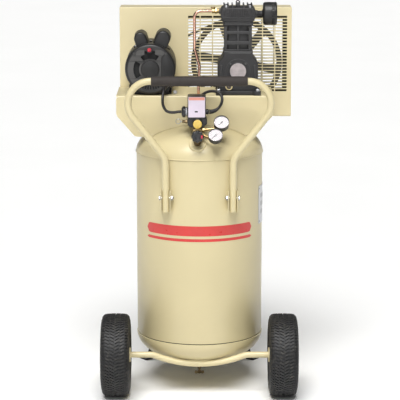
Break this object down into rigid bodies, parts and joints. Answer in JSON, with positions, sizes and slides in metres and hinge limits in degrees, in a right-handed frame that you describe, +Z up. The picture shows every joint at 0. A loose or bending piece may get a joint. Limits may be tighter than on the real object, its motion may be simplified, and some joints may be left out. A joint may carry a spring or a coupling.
{
  "type": "air compressor",
  "caption": "Upright portable air compressor: vertical tank on wheels and feet, belt-driven piston pump and electric motor on top, pressure controls and push handle in front.",
  "frame": {"origin": "on the floor, midway between the outer faces of the tyres and midway from the tyres' front to the feet's back", "axes": "+Z up, +X to the right as seen by someone facing the controls, -Y towards that person"},
  "size_m": [0.627, 0.595, 1.255],
  "materials": {
    "cream_paint": "glossy beige enamel",
    "black_paint": "semi-gloss black enamel",
    "cast_iron_paint": "black paint over rough casting",
    "black_rubber": "satin",
    "tyre_rubber": "matte with worn tread",
    "grip_foam": "matte foam",
    "black_plastic": "fine moulded grain",
    "bright_steel": "zinc plated",
    "brass": "lightly tarnished",
    "copper": "copper tube, heat stained",
    "yellow_plastic": "glossy moulding",
    "red_plastic": "glossy moulding",
    "wheel_metal": "grey enamel on pressed steel",
    "cast_aluminium": "as cast"
  },
  "bodies": {
    "chassis": {"tank_shell": "cream_paint", "tank_top_head": "cream_paint", "tank_bottom_head": "cream_paint", "data_plate": "bright_steel", "platform": "cream_paint", "handle_tube": "cream_paint", "handle_grip": "grip_foam", "handle_bracket_left": "cream_paint", "handle_bracket_right": "cream_paint", "handle_bolt_left": "bright_steel", "handle_bolt_right": "bright_steel", "axle": "cream_paint", "rear_leg_left": "black_paint", "rear_leg_right": "black_paint", "drain_valve": "brass", "motor_shell": "black_paint", "motor_front_bell": "black_paint", "motor_rear_bell": "black_paint", "motor_stator": "bright_steel", "start_capacitor_cover": "black_paint", "run_capacitor_cover": "black_paint", "motor_base": "black_paint", "crankcase": "cast_iron_paint", "crankcase_cover": "cast_iron_paint", "cylinder": "cast_iron_paint", "pump_head": "cast_iron_paint", "air_filter": "black_paint", "sight_glass": "yellow_plastic", "drive_belt": "black_rubber", "guard_front": "cream_paint", "guard_rear": "cream_paint", "discharge_tube": "copper", "head_elbow": "brass", "check_valve": "brass", "manifold": "brass", "switch_base": "black_plastic", "switch_cover": "black_plastic", "gauge_case_upper": "black_paint", "gauge_case_lower": "black_paint", "safety_valve": "brass", "motor_cord": "black_rubber", "supply_cord": "black_rubber", "plug": "black_rubber"},
    "wheel_left": {"tyre_left": "tyre_rubber", "rim_left": "wheel_metal"},
    "wheel_right": {"tyre_right": "tyre_rubber", "rim_right": "wheel_metal"},
    "crank": {"crankshaft": "bright_steel", "flywheel": "cast_iron_paint"},
    "rotor": {"motor_rotor": "bright_steel", "motor_pulley": "cast_aluminium"},
    "piston_and_rod": {"piston": "cast_aluminium", "connecting_rod": "cast_aluminium"},
    "drain_screw": {"drain_wing": "brass"},
    "reset": {"reset_button": "red_plastic"},
    "power_knob": {"switch_knob": "yellow_plastic"},
    "pressure_knob": {"regulator_knob": "black_plastic"},
    "hand_upper": {"needle_upper": "black_plastic"},
    "hand_lower": {"needle_lower": "black_plastic"},
    "pull_ring": {"safety_ring": "bright_steel"}
  },
  "joints": [
    {"name": "wheel_left_spin", "type": "hinge", "parent": "chassis", "child": "wheel_left", "pos_m": [-0.2675, -0.165, 0.1325], "axis": [1, 0, 0], "continuous": true},
    {"name": "wheel_right_spin", "type": "hinge", "parent": "chassis", "child": "wheel_right", "pos_m": [0.2675, -0.165, 0.1325], "axis": [1, 0, 0], "continuous": true},
    {"name": "crank_spin", "type": "hinge", "parent": "chassis", "child": "crank", "pos_m": [0.1225, 0.195, 1.032], "axis": [0, 1, 0], "continuous": true},
    {"name": "rotor_spin", "type": "hinge", "parent": "chassis", "child": "rotor", "pos_m": [-0.156, 0.195, 1.04], "axis": [0, 1, 0], "continuous": true},
    {"name": "piston_slide", "type": "slide", "parent": "chassis", "child": "piston_and_rod", "axis": [0, 0, 1], "range_m": [0, 0.04]},
    {"name": "drain_turn", "type": "hinge", "parent": "chassis", "child": "drain_screw", "pos_m": [0, 0, 0.03], "axis": [0, 0, 1], "range_deg": [0, 450]},
    {"name": "reset_press", "type": "slide", "parent": "chassis", "child": "reset", "axis": [0, 1, 0], "range_m": [0, 0.003], "stiffness_N_per_m": 200, "springref_m": -0.004},
    {"name": "power_turn", "type": "hinge", "parent": "chassis", "child": "power_knob", "pos_m": [-0.006, -0.188, 0.8825], "axis": [0, 1, 0], "range_deg": [0, 90]},
    {"name": "pressure_turn", "type": "hinge", "parent": "chassis", "child": "pressure_knob", "pos_m": [-0.006, -0.226, 0.85], "axis": [0, 1, 0], "range_deg": [0, 1080]},
    {"name": "upper_reading", "type": "hinge", "parent": "chassis", "child": "hand_upper", "pos_m": [0.0687, -0.19678, 0.8895], "axis": [0, 0.766, -0.6428], "range_deg": [0, 270], "stiffness_Nm_per_rad": 0.001},
    {"name": "lower_reading", "type": "hinge", "parent": "chassis", "child": "hand_lower", "pos_m": [0.0499, -0.23178, 0.8545], "axis": [0, 0.766, -0.6428], "range_deg": [0, 270], "stiffness_Nm_per_rad": 0.001},
    {"name": "relief_pull", "type": "slide", "parent": "chassis", "child": "pull_ring", "axis": [-1, 0, 0], "range_m": [0, 0.003], "stiffness_N_per_m": 300, "springref_m": -0.004}
  ],
  "couplings": [
    {"joint": "rotor_spin", "follows": "crank_spin", "ratio": 4.811}
  ]
}
